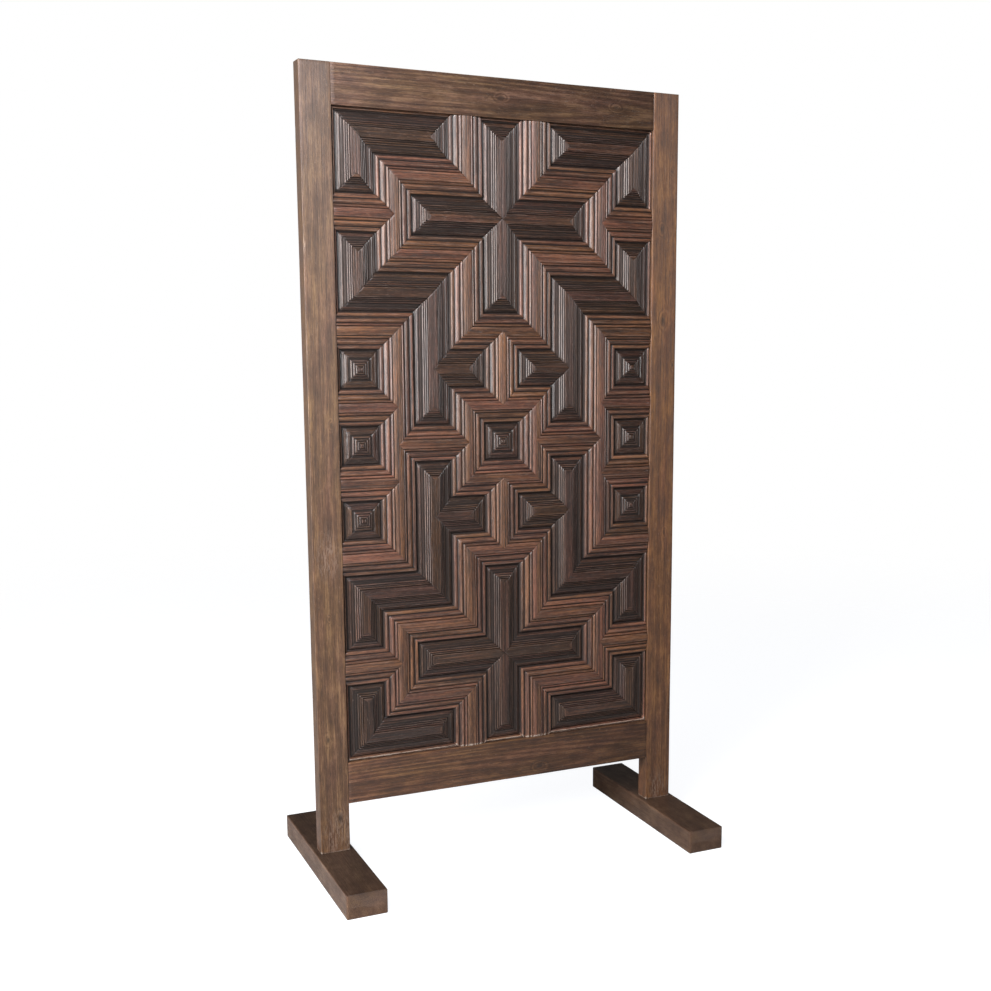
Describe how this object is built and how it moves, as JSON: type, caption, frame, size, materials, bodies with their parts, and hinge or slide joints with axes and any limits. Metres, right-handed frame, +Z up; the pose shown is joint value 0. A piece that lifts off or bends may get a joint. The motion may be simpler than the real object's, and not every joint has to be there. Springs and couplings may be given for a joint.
{
  "type": "free-standing wooden panel screen",
  "caption": "Free-standing wooden room screen: a plain frame on two long feet around a panel of mitred strapwork mouldings and raised dark figures.",
  "frame": {"origin": "on the floor, midway between the two feet and at the middle of the frame's depth", "axes": "+Z up along the stiles, +X along the screen's width to the right as seen from the front, and the carved front faces -Y"},
  "size_m": [1.0376, 0.594, 2],
  "materials": {
    "frame_wood": "mid-brown stained and waxed hardwood, satin",
    "strap_wood": "reddish-brown stained mouldings, satin, darker in the grooves",
    "figure_wood": "near-black brown stained mouldings, semi-gloss",
    "board_wood": "plain brown stained planks, matt"
  },
  "bodies": {
    "root": {"left_foot": "frame_wood", "right_foot": "frame_wood", "left_stile": "frame_wood", "right_stile": "frame_wood", "top_rail": "frame_wood", "bottom_rail": "frame_wood", "back_board": "board_wood", "strapwork": "strap_wood", "upper_left_angle_panel": "figure_wood", "upper_right_angle_panel": "figure_wood", "lower_left_angle_panel": "figure_wood", "lower_right_angle_panel": "figure_wood", "upper_cross_panel": "figure_wood", "lower_cross_panel": "figure_wood", "upper_left_stepped_panel": "figure_wood", "upper_right_stepped_panel": "figure_wood", "lower_left_stepped_panel": "figure_wood", "lower_right_stepped_panel": "figure_wood", "upper_left_square_panel": "figure_wood", "upper_right_square_panel": "figure_wood", "lower_left_square_panel": "figure_wood", "lower_right_square_panel": "figure_wood", "left_middle_square_panel": "figure_wood", "right_middle_square_panel": "figure_wood", "centre_square_panel": "figure_wood"}
  },
  "joints": []
}
